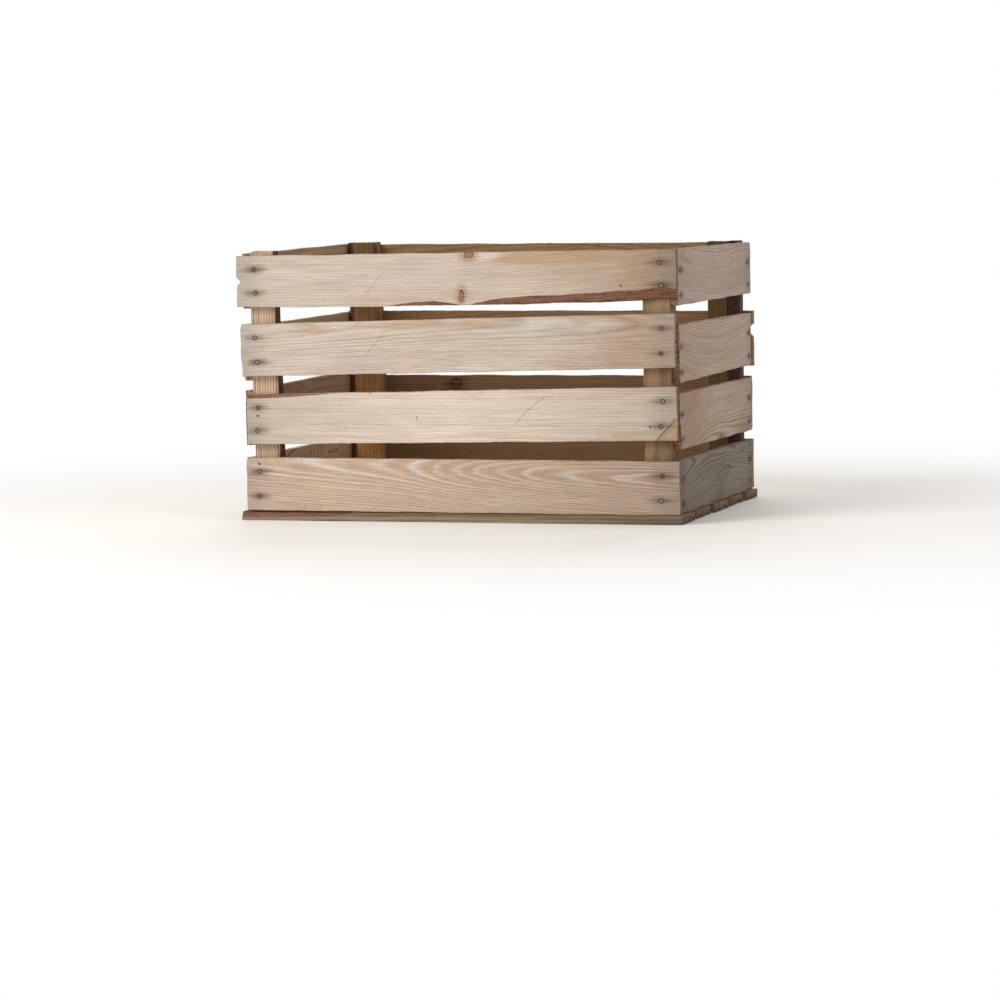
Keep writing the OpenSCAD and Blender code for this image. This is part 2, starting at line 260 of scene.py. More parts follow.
        # The saw left slanting ridges every 3.2 mm, plain in some patches and gone in others
        slant = add(self.log, (0.74, -0.62, 0.1), kind="VectorMath", operation="DOT_PRODUCT", out="Value")
        phase = add(add(slant, math.tau / 3.2, **TIMES), add(fibre, 2.5, **TIMES), **PLUS)
        sawn = add(add(phase, **WAVE), self.streaks((38, 26), 1.0, (0.42, 0.68)), **TIMES)
        value = add(add(fibre, 0.25, 0.75, 0.84, 1.10, **EASE), add(sawn, 0.06, **TIMES), **PLUS)
        # Dark flecks in the torn fibres, and along the long edges a darkening that is partly dirt and partly
        # painted shade of the rounded edges
        value = add(value, self.streaks((4.5, 1.1), 2.0, (0.27, 0.40, 0.76, 1.0)), **TIMES)
        value = add(value, add(from_edge, 0.0, 1.4, 0.78, 1.0, **EASE), **TIMES)
        colour = add(kind="HueSaturation", named={"Color": colour, "Value": value})

        colour, hollow = self.scars(self.knots(colour))
        height = add(late, 0.12, **TIMES)
        for relief, share in ((fibre, 0.35), (sawn, 0.08), (hollow, -0.4)):
            height = add(height, add(relief, share, **TIMES), **PLUS)
        colour, height = self.barked(self.stains(colour), height)
        # Painted light and shade: the colour is multiplied by a brightness that stands in for how the light
        # falls on the piece
        colour = add(1.0, colour, painted_light, **BLEND | {"blend_type": "MULTIPLY"})
        # Heights are in millimetres, so the bump reaches one millimetre
        bump = add(kind="Bump", named={"Strength": 1.0, "Distance": MM, "Height": height})
        shader = add(kind="BsdfPrincipled", named={
            "Base Color": colour, "Roughness": 0.85, "Normal": bump, "IOR": 1.45, "Specular IOR Level": 0.3})
        add(shader, kind="OutputMaterial")
        return self.material

    def knots(self, colour: Any) -> Any:
        """Tint the knots: a tan disc with a brown heart and rim, and brown resin round it.

        Args:
            colour: The wood's colour.

        Returns:
            The new colour.
        """
        add = self.add
        strong = self.wood.knot_tint
        tint = BLEND | {"blend_type": "MULTIPLY"}
        off_knot = add(add(self.knot, (1.0, 1.0, 0.0), **SCALED), **LENGTH)
        ragged = add(add(off_knot, add(self.streaks((5, 4)), 0.7, **TIMES), **PLUS), -0.35, **PLUS)
        drawn = self.streaks((14, 1.6), 2.0, (0.35, 0.62, 0.35, 1.0))
        resin = add(add(ragged, 0.8, 3.3, 0.8 * strong, 0.0, **EASE), drawn, **TIMES)
        colour = add(resin, colour, linear("#bb9672"), **tint)
        rims = ((0.0, "#c4a48a"), (0.25, "#ead6c2"), (0.50, "#d2b69c"), (0.72, "#eddccb"), (0.95, "#7d6150"))
        disc = add(ragged, kind="ValToRGB", ramp=[(place, linear(srgb)) for place, srgb in rims])
        return add(add(ragged, 1.22, 0.98, 0.0, strong, **EASE), colour, disc, **tint)

    def scars(self, colour: Any) -> tuple[Any, Any]:
        """Darken the scratches and cracks. A wide mark is darker than a fine scratch, which comes and goes.

        The attribute holds the share along the nearest scar, the distance across it, and its half width.

        Args:
            colour: The wood's colour.

        Returns:
            The new colour, and the scar's shape from 0 to 1.
        """
        add = self.add
        along, across, half = (add(self.scar, **SPLIT | {"out": axis}) for axis in "XYZ")
        within = add(add(along, **SIZE_OF), 1.0, 0.75, **EASE)
        aside = add(add(across, **SIZE_OF), half, kind="Math", operation="DIVIDE")
        hollow = add(within, add(aside, 1.4, 0.3, **EASE), **TIMES)
        firm = add(half, 0.5, 0.8, **EASE)
        steady = add(self.streaks((4, 2), 1.0, (0.35, 0.60)), firm, kind="Math", operation="MAXIMUM")
        level = add(firm, 0.0, 1.0, 0.30, 0.8, **EASE)
        hollow = add(hollow, add(steady, level, **TIMES), **TIMES)
        return add(hollow, colour, linear("#4e3b32"), **BLEND), hollow

    def stains(self, colour: Any) -> Any:
        """Colour the blue-grey halo that iron leaves in damp wood, drawn out along the grain, and the rust.

        The attribute holds the place relative to the nearest nail, and how strong its stain is.

        Args:
            colour: The wood's colour.

        Returns:
            The new colour.
        """
        add = self.add
        strong = add(self.nail, **SPLIT | {"out": "Z"})
        ragged = add(add(self.streaks((22, 2.0), 3.0), -0.5, **PLUS), 5.0, **TIMES)
        for flat, start, end, level in ((0.36, 0.3, 7.2, 0.80), (0.13, -0.5, 3.4, 0.38)):
            reach = add(add(self.nail, (flat, 1.0, 0.0), **SCALED), **LENGTH)
            halo = add(add(reach, ragged, **PLUS), start, end, level, 0.0, **EASE)
            colour = add(add(halo, strong, **TIMES), colour, linear("#5c524b"), **BLEND)
        level = add(add(self.nail, (1.0, 1.0, 0.0), **SCALED), **LENGTH)
        return add(add(level, 2.3, 3.5, 0.7, 0.0, **EASE), colour, linear("#5f4034"), **BLEND)

    def barked(self, colour: Any, height: Any) -> tuple[Any, Any]:
        """Lay inner bark over the missing edges: red-brown, with a painted shadow line along its edge, and
        flecks and cracks.

        Args:
            colour: The wood's colour.
            height: The wood's relief.

        Returns:
            The new colour and relief.
        """
        add, wood = self.add, self.wood
        wane = add(kind="Attribute", out="Fac", attribute_name="wane")
        ragged = add(wane, add(self.streaks((12, 3)), 0.9, **TIMES), **PLUS)
        barked = add(ragged, 0.45, 0.75, **EASE)
        mottle = self.streaks((26, 3.0), 4.0)
        bark = add(add(mottle, 0.30, 0.62, **EASE), linear(wood.bark_dark), linear(wood.bark), **BLEND)
        flecks = self.streaks((2.4, 1.8), 2.0, (0.56, 0.72, 0.0, 0.5))
        cracks = self.streaks((1.8, 9.0), 1.0, (0.32, 0.25, 0.0, 0.85))
        # A painted shadow line where the bark meets the sawn face
        painted_edge_shadow = add(ragged, 0.6, 1.7, 0.75, 0.0, **EASE)
        for mark, srgb in ((flecks, "#b08a74"), (cracks, "#2c1d1a"), (painted_edge_shadow, "#4d3029")):
            bark = add(mark, bark, linear(srgb), **BLEND)
        relief = add(add(mottle, 0.9, **TIMES), add(cracks, -0.6, **TIMES), **PLUS)
        return (add(barked, colour, bark, **BLEND),
                add(barked, height, relief, kind="Mix", sockets=(0, 2, 3), data_type="FLOAT"))


@dataclass(frozen=True)
class RustyWire:
    """Mild steel wire nails left outdoors: dull dark-red rust, with a paler middle of the head that is partly
    bare steel where the rust has rubbed off and partly a painted highlight.
    """

    name: str = "rusty_steel_wire"
    rust: str = "#6b4038"
    pit: str = "#38231f"
    # The paler middle of a head: partly bare steel where the rust has rubbed off, partly a painted highlight
    bare_and_glint: str = "#d3bdb3"

    def dress(self) -> Any:
        """Make the material of the nails.

        Returns:
            The material.
        """
        material = bpy.data.materials.new(self.name)
        add = Graph(material).add
        place = add(kind="TexCoord", out="Object")
        off_axis, wear = (add(kind="Attribute", out="Fac", attribute_name=name)
                          for name in ("off_axis", "wear"))
        # Grains of rust about 0.7 mm across
        grain = add(kind="TexNoise", named={"Vector": place, "Scale": 1 / (0.7 * MM), "Detail": 3.0})
        colour = add(add(grain, 0.35, 0.65, **EASE), linear(self.pit), linear(self.rust), **BLEND)
        # The paler middle of the head is partly bare steel and partly a painted highlight
        bare_and_glint = add(add(off_axis, 0.75, 0.40, **EASE), wear, **TIMES)
        colour = add(bare_and_glint, colour, linear(self.bare_and_glint), **BLEND)
        bump = add(kind="Bump", named={"Strength": 0.7, "Distance": 0.2 * MM, "Height": grain})
        shader = add(kind="BsdfPrincipled", named={
            "Base Color": colour, "Metallic": add(bare_and_glint, 0.3, **TIMES), "Normal": bump,
            "Roughness": add(grain, 0.3, 0.7, 0.50, 0.80, **EASE)})
        add(shader, kind="OutputMaterial")
        return material


class Lay(Enum):
    """How wood lies: unit vectors along its grain, across its face, and inwards from its face."""

    FRONT = ((1, 0, 0), (0, 0, 1), (0, 1, 0))
    REAR = ((1, 0, 0), (0, 0, 1), (0, -1, 0))
    RIGHT = ((0, 1, 0), (0, 0, 1), (-1, 0, 0))
    LEFT = ((0, 1, 0), (0, 0, 1), (1, 0, 0))
    FLOOR = ((1, 0, 0), (0, 1, 0), (0, 0, 1))
    POST_FRONT = ((0, 0, 1), (1, 0, 0), (0, 1, 0))
    POST_REAR = ((0, 0, 1), (1, 0, 0), (0, -1, 0))

    def local(self, points: Array) -> Array:
        """Turn points in the crate's frame into places along, across and inwards."""
        return points @ np.array(self.value, float).T

    def world(self, places: Array) -> Array:
        """Turn places along, across and inwards into points in the crate's frame."""
        return places @ np.array(self.value, float)


@dataclass(frozen=True)
class Cut:
    """Where a piece was cut from its log.

    Args:
        pith: Places along the piece from its middle, each with the height of the pith above the middle of
            the face and its depth behind the face. A smooth curve joins them.
        figure: How strongly the rings show.
    """

    pith: tuple[Triple, ...]
    figure: float = 1.0

    def pith_at(self, along: Array) -> tuple[Array, Array]:
        """Give the height and the depth of the pith at places along the piece."""
        places, *lines = np.array(self.pith).T
        # The mean of each line over 70 mm rounds off its corners
        shifts = np.linspace(-35, 35, 9)
        return tuple(np.mean([np.interp(along + shift, places, line) for shift in shifts], axis=0)
                     for line in lines)


@dataclass(frozen=True)
class Tint:
    """A warm spot on the face, or a pale one where its warmth is below 0."""

    at: Pair
    radii: Pair
    warmth: float


@dataclass(frozen=True)
class Knot:
    """A knot's middle and its radii, along and across the grain."""

    at: Pair
    radii: Pair


@dataclass(frozen=True)
class Scar:
    """A scratch or a crack on the face, from start to end."""

    start: Pair
    end: Pair
    half_width: float = 0.62


@dataclass(frozen=True)
class Wane:
    """A missing long edge where the sawyer met the outside of the log.

    Args:
        run: Places along the piece, and how far up its face the missing edge reaches there.
        slope: Depth of the missing edge over that reach.
        upper: Whether it is on the upper edge of the face.
        inner: Whether it is on the inner side of the piece.
    """

    run: Run
    slope: float
    upper: bool = False
    inner: bool = False


@dataclass(frozen=True)
class Bite:
    """A bit broken out of an end: heights across the piece, and how deep it is broken out there."""

    outline: Run
    far_end: bool = False


@dataclass(frozen=True)
class Chip:
    """A corner flaked off the face, on the right of the line from start to end."""

    start: Pair
    end: Pair
    depth: float

    def beyond(self, u: Array, v: Array) -> Array:
        """Give how far each point lies on the right of the line."""
        du, dv = self.end[0] - self.start[0], self.end[1] - self.start[1]
        return ((v - self.start[1]) * -du + (u - self.start[0]) * dv) / math.hypot(du, dv)


def read(run: Run, along: Array) -> Array:
    """Read a run of places and values at other places."""
    return np.interp(along, *zip(*run))


def ripple(rng: np.random.Generator, height: float, *spans: tuple[Array, float]) -> Array:
    """Sum a few waves into a smooth random relief.

    Args:
        rng: Seeded source of the waves' directions and phases.
        height: Typical height of the relief.
        spans: Coordinates, each with the length of a wave along it.

    Returns:
        The relief at each point.
    """
    waves = 7
    total = 0.0
    for _ in range(waves):
        phase = rng.uniform(0, math.tau)
        for values, length in spans:
            phase = phase + values * (math.tau / length * rng.uniform(0.5, 1.5) * rng.choice((-1, 1)))
        total = total + np.sin(phase)
    return height * total / math.sqrt(waves / 2)


def rounded(first: Array, second: Array, reach: Any, depth: Any, power: float) -> tuple[Array, Array]:
    """Move points near a square edge onto a rounded or slanting one.

    Args:
        first: Distance of each point from the edge, along the first face.
        second: Distance of each point from the edge, along the second face.
        reach: How much of the first face is missing.
        depth: How much of the second face is missing.
        power: 1 for a flat slant, 2 for a quarter of an ellipse.

    Returns:
        The two distances after the move.
    """
    left_a = np.clip(1 - first / reach, 0, 1)
    left_b = np.clip(1 - second / depth, 0, 1)
    outside = np.maximum((left_a ** power + left_b ** power) ** (1 / power), 1.0)
    moved = outside > 1
    return (np.where(moved, reach * (1 - left_a / outside), first),
            np.where(moved, depth * (1 - left_b / outside), second))


def long_edge(points: Array) -> tuple[float, float]:
    """Find the straight line that most of the lower edge of an outline follows.

    Args:
        points: Places along and across.

    Returns:
        The line's height at 0 and its slope.
    """
    hull: list = []
    for point in sorted(set(map(tuple, points.round(2)))):
        while len(hull) > 1:
            (ax, ay), (bx, by) = hull[-2:]
            if (bx - ax) * (point[1] - ay) - (by - ay) * (point[0] - ax) > 0:
                break
            hull.pop()
        hull.append(point)
    (ax, ay), (bx, by) = max(zip(hull, hull[1:]), key=lambda pair: pair[1][0] - pair[0][0])
    slope = (by - ay) / (bx - ax)
    return ay - slope * ax, slope


def vertices_of(piece: Any) -> Array:
    """Read a mesh object's vertices, in millimetres."""
    flat = np.empty(len(piece.data.vertices) * 3, np.float32)
    piece.data.vertices.foreach_get("co", flat)
    return flat.reshape(-1, 3).astype(float) / MM


def nail_places(node: str, lay: Lay) -> Array:
    """Find the axes of a wall's nails.

    Args:
        node: Name of the CAD node that holds them.
        lay: How the wall's wood lies.

    Returns:
        Places along, across and inwards of the middles of the nails' heads.
    """
    loose = lay.local(vertices_of(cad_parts[node]))
    # Nails stand over 20 mm apart, and a head is under 3 mm in radius
    apart = 8.0
    found = []
    while len(loose):
        near = np.hypot(*(loose[:, :2] - loose[0, :2]).T) < apart
        group = loose[near]
        middle = (group.min(0) + group.max(0)) / 2
        found.append((middle[0], middle[1], group[:, 2].min()))
        loose = loose[~near]
    return np.array(sorted(found))


def mode(name: str) -> None:
    """Go to edit mode or object mode, by its name in capitals."""
    bpy.ops.object.mode_set(mode=name)


def select_only(*pieces: Any) -> None:
    """Make the pieces the only selected objects, and the first one active."""
    bpy.ops.object.select_all(action="DESELECT")
    for piece in pieces:
        piece.select_set(True)
    bpy.context.view_layer.objects.active = pieces[0]


def note(piece: Any, **notes: Array) -> None:
    """Keep numbers or vectors on a piece's vertices, as attributes for its material.

    Args:
        piece: The object.
        notes: One number or vector for each vertex, by the attribute's name.
    """
    for name, values in notes.items():
        kind, part = ("FLOAT", "value") if values.ndim == 1 else ("FLOAT_VECTOR", "vector")
        layer = piece.data.attributes.new(name, kind, "POINT")
        layer.data.foreach_set(part, values.astype(np.float32).ravel())


def soften(piece: Any, width: float, segments: int, corner: float, smooth: float) -> None:
    """Round off the active piece's sharp edges, and shade it smooth elsewhere.

    Args:
        piece: The object.
        width: Width of the rounding.
        segments: Number of faces across it.
        corner: Degrees by which faces turn at the flattest edge that is rounded.
        smooth: Degrees up to which the shading is smooth.
    """
    bevel = piece.modifiers.new("softened", "BEVEL")
    bevel.width = width * MM
    bevel.segments = segments
    bevel.limit_method = "ANGLE"
    bevel.angle_limit = math.radians(corner)
    bpy.ops.object.modifier_apply(modifier=bevel.name)
    bpy.ops.object.shade_smooth_by_angle(angle=math.radians(smooth))


def settle(piece: Any, node: str, stuff: str, slot: str) -> None:
    """Name a finished piece and put it in its node's place.

    Args:
        piece: The object.
        node: Name of the CAD node that it stands for.
        stuff: What it is made of, for its name.
        slot: The record's material slot; not used.
    """
    piece.name = piece.data.name = node.replace("_", ".", 1) + "." + stuff
    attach(piece, "root")
    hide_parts(node)
    LOG.info("%s: %d faces", piece.name, len(piece.data.polygons))


def nearest(marks: Sequence[Array], distance: Sequence[Array], reach: float, count: int) -> Array:
    """Pick, for each vertex, its place relative to the mark that is nearest to it.

    Args:
        marks: For each mark, the places relative to it.
        distance: For each mark, how far each vertex is from it.
        reach: Distance from which on a mark doesn't show. The vertices there are put far off on the same
            side, or the zero between two marks would draw a third one.
        count: Number of vertices.

    Returns:
        One place for each vertex.
    """
    if not marks:
        return np.tile((NOWHERE, NOWHERE, 1.0), (count, 1))
    choice = np.argmin(np.stack(distance), axis=0), np.arange(count)
    places = np.stack(marks)[choice]
    off = np.stack(distance)[choice] > reach
    places[off, :2] = np.copysign(NOWHERE, places[off, :2])
    return places


@dataclass
class Timber:
    """One sawn piece of wood, modelled afresh on its CAD node.

    Args:
        node: Name of the CAD node that it stands for.
        lay: How it lies.
        slot: The record's material slot.
        materials: Materials of its faces and of its sawn ends.
        seed: Seed of its irregularities.
        nails: Places of its wall's nails.
    """

    node: str
    lay: Lay
    slot: str
    materials: tuple[Any, Any]
    seed: int
    nails: Array
    cut: Optional[Cut] = None
    knots: tuple[Knot, ...] = ()
    scars: tuple[Scar, ...] = ()
    wanes: tuple[Wane, ...] = ()
    bites: tuple[Bite, ...] = ()
    chips: tuple[Chip, ...] = ()
    tints: tuple[Tint, ...] = ()
    # How far the lower edge hangs below the CAD edge, and how far the upper edge stays below its own
    belly: Run = ((0.0, 0.0),)
    planed: Run = ((0.0, 0.0),)
    worn_corner: float = 0.0
    # Painted light and shade at places along the piece, standing in for how the light falls on it, a further
    # run of painted light and shade for the side that looks into the crate, and warmth
    shade: Run = ((0.0, 1.0),)
    inside_shade: Run = ((0.0, 1.0),)
    warmth: Run = ((0.0, 0.0),)
    # Spacing of the mesh along, across and through
    cell: Triple = (2.5, 2.0, 2.3)
    # How far the sawn edges wander, how ragged the ends are and how far in, and how rough the faces are
    edge_wander: float = 0.35
    end_wander: float = 0.3
    torn_length: float = 9.0
    relief: float = 0.10
    # How deep the nails' heads crushed the wood, and how far from their middles
    dent: Pair = (0.55, 3.4)
    # Width that the weather has rounded off the long edges
    softened: float = 0.6

    def measure(self) -> None:
        """Read the piece's ends, edges and thickness from its CAD node, and keep the nails that meet it."""
        places = self.lay.local(vertices_of(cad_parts[self.node]))
        self.low, self.high = places.min(0), places.max(0)
        self.lower = long_edge(places[:, :2])
        turned = long_edge(places[:, :2] * (1, -1))
        self.upper = (-turned[0], -turned[1])
        self.length, self.tall, self.thick = self.high - self.low
        across = self.nails[:, 1]
        self.nails = self.nails[(across > self.low[1]) & (across < self.high[1])]

    def blank(self) -> Any:
        """Saw the blank: a grid on the outer face, drawn inwards through the thickness.

        Returns:
            The new object, a closed block of small cells.
        """
        along, across, inward = (Vector(v) for v in self.lay.value)
        middle = self.lay.world(np.array([*(self.low + self.high)[:2] / 2, self.low[2]])) * MM
        turn = Matrix((along, across, along.cross(across))).transposed().to_euler()
        bpy.ops.object.select_all(action="DESELECT")
        bpy.ops.mesh.primitive_grid_add(x_subdivisions=round(self.length / self.cell[0]),
                                        y_subdivisions=round(self.tall / self.cell[1]),
                                        size=1.0, location=middle, rotation=turn)
        piece = bpy.context.object
        bpy.ops.object.transform_apply(location=True, rotation=True, scale=True)
        mode("EDIT")
        bpy.ops.mesh.select_all(action="SELECT")
        stretch = along * self.length * MM + across * self.tall * MM
        stretch = Vector(abs(part) if abs(part) > 1e-9 else 1.0 for part in stretch)
        bpy.ops.transform.resize(value=stretch, center_override=middle)
        layers = max(1, round(self.thick / self.cell[2]))
        for _ in range(layers):
            bpy.ops.mesh.extrude_region_move(
                TRANSFORM_OT_translate={"value": inward * (self.thick / layers * MM)})
        mode("OBJECT")
        return piece

    def edges_at(self, along: Array) -> tuple[Array, Array]:
        """Give the heights of the lower and the upper edge at places along the piece."""
        return (self.lower[0] + self.lower[1] * along - read(self.belly, along),
                self.upper[0] + self.upper[1] * along - read(self.planed, along))

    def taper(self, places: Array) -> Array:
        """Bring the square blank to the piece's own outline.

        Args:
            places: Where the blank's vertices are.

        Returns:
            Where they come to be, with the depth measured from the face.
        """
        u, v, w = places.T
        low, high = self.edges_at(u)
        return np.stack([u, low + (v - self.low[1]) / self.tall * (high - low), w - self.low[2]], axis=1)

    def carve(self, places: Array, rng: np.random.Generator) -> tuple[Array, Array]:
        """Turn the plain shape into the weathered one.

        Args:
            places: Where the vertices are in the plain shape.
            rng: Seeded source of the irregularities.

        Returns:
            The carved places, and how far each vertex lies inside a missing edge.
        """
        u, v, w = places.T.copy()
        low, high = self.edges_at(u)
        share = (v - low) / (high - low)
        barked = np.full(len(u), -NOWHERE)
        for wane in self.wanes:
            reach = np.maximum(read(wane.run, u) * (1 + ripple(rng, 0.02, (u, 45.0))), 0.02)
            deep = np.maximum(reach * wane.slope, 0.02)
            up = (high - v) if wane.upper else (v - low)
            back = (self.thick - w) if wane.inner else w
            barked = np.maximum(barked, np.where(reach > 0.3, np.minimum(reach - up, deep - back), -NOWHERE))
            up, back = rounded(up, back, reach, deep, 1.25)
            v = high - up if wane.upper else low + up
            w = self.thick - back if wane.inner else back
        if self.worn_corner:
            end, top = rounded(u - self.low[0], high - v, self.worn_corner, self.worn_corner, 2.0)
            u, v = self.low[0] + end, high - top

        # The saw wandered along both edges
        for edge in (0.0, 1.0):
            wander = self.edge_wander * (1 + ripple(rng, 0.45, (u, 90.0)) + ripple(rng, 0.2, (u, 17.0)))
            wander = np.clip(wander, 0, None) * np.clip(1 - np.abs(share - edge) * 2, 0, 1) ** 2
            v = v + wander * (1 if edge == 0.0 else -1)
        # The ends were cut by hand, and their fibres are torn
        for end, sign in ((self.low[0], 1), (self.high[0], -1)):
            near = np.clip(1 - np.abs(u - end) / self.torn_length, 0, 1) ** 1.5
            torn = ripple(rng, 0.5, (v, 40.0), (w, 30.0)) + ripple(rng, 0.35, (v, 6.0), (w, 5.0))
            out = np.clip(self.end_wander * (1 + torn), 0, None)
            for bite in self.bites:
                if bite.far_end == (sign < 0):
                    out = out + read(bite.outline, v)
            u = u + sign * out * near
        # Both faces are uneven, and the nails have crushed the wood under their heads
        outer, inner = 1 - w / self.thick, w / self.thick
        hollow = np.clip(0.22 + ripple(rng, 0.16, (u, 160.0), (v, 60.0)), 0, None)
        hollow = hollow + np.clip(self.relief * (1 + ripple(rng, 0.8, (u, 9.0), (v, 4.0))), 0, None)
        for nail in self.nails:
            away = np.hypot(u - nail[0], v - nail[1])
            hollow = hollow + self.dent[0] / (1 + (away / self.dent[1]) ** 6)
        for chip in self.chips:
            flaked = np.clip(chip.beyond(u, v), 0, chip.depth * 3) / 3
            hollow = hollow + flaked * (1 + ripple(rng, 0.2, (u, 5.0), (v, 8.0)))
        back = 0.15 + ripple(rng, 0.15, (u, 120.0), (v, 50.0)) + ripple(rng, 0.05, (u, 8.0), (v, 4.0))
        w = w + outer * hollow - inner * np.clip(back, 0, 0.6)
        return np.stack([u, v, w + self.low[2]], axis=1), barked

    def grain(self, places: Array) -> dict[str, Array]:
        """Work out what the material reads at each vertex.

        Args:
            places: Where the vertices were before the carving.

        Returns:
            Values for each vertex, by the name of their attribute.
        """
        u, v, w = places.T
        middle = (self.low[:2] + self.high[:2]) / 2
        du, dv = u - middle[0], v - middle[1]
        height, deep = self.cut.pith_at(du)
        # Each piece came from another part of the tree, so no two share their blotches
        log = np.stack([u + self.seed * 731.0, dv - height, w - deep], axis=1)
        count = len(u)
        knots, pushed = [], np.zeros(count)
        for knot in self.knots:
            off = (u - knot.at[0]) / knot.radii[0], (v - knot.at[1]) / knot.radii[1]
            above = knot.at[1] - middle[1] > self.cut.pith_at(knot.at[0] - middle[0])[0]
            swell = np.exp(-0.2 * (off[0] ** 2 + off[1] ** 2)) * (-0.8 if above else 0.8)
            pushed += (v - knot.at[1]) * swell
            knots.append(np.stack([*off, np.zeros(count)], axis=1))
        rng = np.random.default_rng(self.seed + 500)
        nails = [np.stack([u - n[0], v - n[1], np.full(count, rng.uniform(0.55, 1.0))], axis=1)
                 for n in self.nails]
        scars, far = [], []
        for scar in self.scars:
            start, end = np.array(scar.start), np.array(scar.end)
            half = (end - start) / 2
            size = max(np.hypot(*half), 1e-3)
            away = np.stack([u, v], axis=1) - (start + end) / 2
            along, aside = away @ half / size ** 2, (away[:, 0] * half[1] - away[:, 1] * half[0]) / size
            scars.append(np.stack([along, aside, np.full(count, scar.half_width)], axis=1))
            far.append(np.hypot(np.clip(np.abs(along) - 1, 0, None) * size, aside))
        warm = read(self.warmth, u)
        for tint in self.tints:
            off = np.hypot((u - tint.at[0]) / tint.radii[0], (v - tint.at[1]) / tint.radii[1])
            warm = warm + tint.warmth * np.clip(1.5 - off, 0, 1)
        # Painted light and shade along the piece, with a run of its own for the side that looks into the
        # crate
        inwards = np.interp(w / self.thick, (0.35, 0.75), (0.0, 1.0))
        painted_light = read(self.shade, u) * (1 + inwards * (read(self.inside_shade, u) - 1))
        ends = np.minimum(u - self.low[0], self.high[0] - u)
        for chip in self.chips:
            # The wood under a chip is fresh: warm, not greyed at the end, and lifted a little out of the
            # painted shade
            fresh = np.clip(chip.beyond(u, v), 0, 1)
            warm, painted_light, ends = warm + 0.45 * fresh, painted_light * (1 + 0.14 * fresh), ends + 40 * fresh
        low, high = self.edges_at(u)
        knot = nearest(knots, [np.hypot(k[:, 0], k[:, 1]) for k in knots], KNOT_REACH, count)
        knot[:, 2] = pushed
        return {
            "log": log,
            "knot": knot,
            "nail": nearest(nails, [np.hypot(n[:, 0] / STAIN_LENGTH, n[:, 1]) for n in nails],
                            STAIN_REACH, count),
            "scar": nearest(scars, far, SCAR_REACH, count),
            "place": np.stack([ends, np.minimum(v - low, high - v), w / self.thick], axis=1),
            "tone": np.stack([painted_light, warm, np.full(count, self.cut.figure)], axis=1),
        }

    def build(self) -> None:
        """Model the piece, dress it and put it in its node's place."""
        self.measure()
        rng = np.random.default_rng(self.seed)
        if self.cut is None:
            height, deep = rng.choice((-1, 1)) * rng.uniform(15, 60), rng.uniform(15, 45)
            self.cut = Cut(tuple((place, height + rng.uniform(-6, 6), deep + rng.uniform(-7, 7))
                                 for place in (-220, 0, 220)), 0.9)
        piece = self.blank()
        places = self.taper(self.lay.local(vertices_of(piece)))
        carved, barked = self.carve(places, rng)
        piece.data.vertices.foreach_set("co", (self.lay.world(carved) * MM).astype(np.float32).ravel())
        note(piece, **self.grain(places), wane=barked)
        select_only(piece)
        mode("EDIT")
        bpy.ops.mesh.select_all(action="SELECT")
        bpy.ops.mesh.normals_make_consistent(inside=False)
        mode("OBJECT")
        soften(piece, self.softened, segments=2, corner=50, smooth=38)
        for material in self.materials:
            piece.data.materials.append(material)
        normals = np.empty(len(piece.data.polygons) * 3, np.float32)
        piece.data.polygons.foreach_get("normal", normals)
        along = self.lay.local(normals.reshape(-1, 3))[:, 0]
        piece.data.polygons.foreach_set("material_index", (np.abs(along) > END_FACING).astype(np.int32))
        piece.data.update()
        settle(piece, self.node, "wood", self.slot)


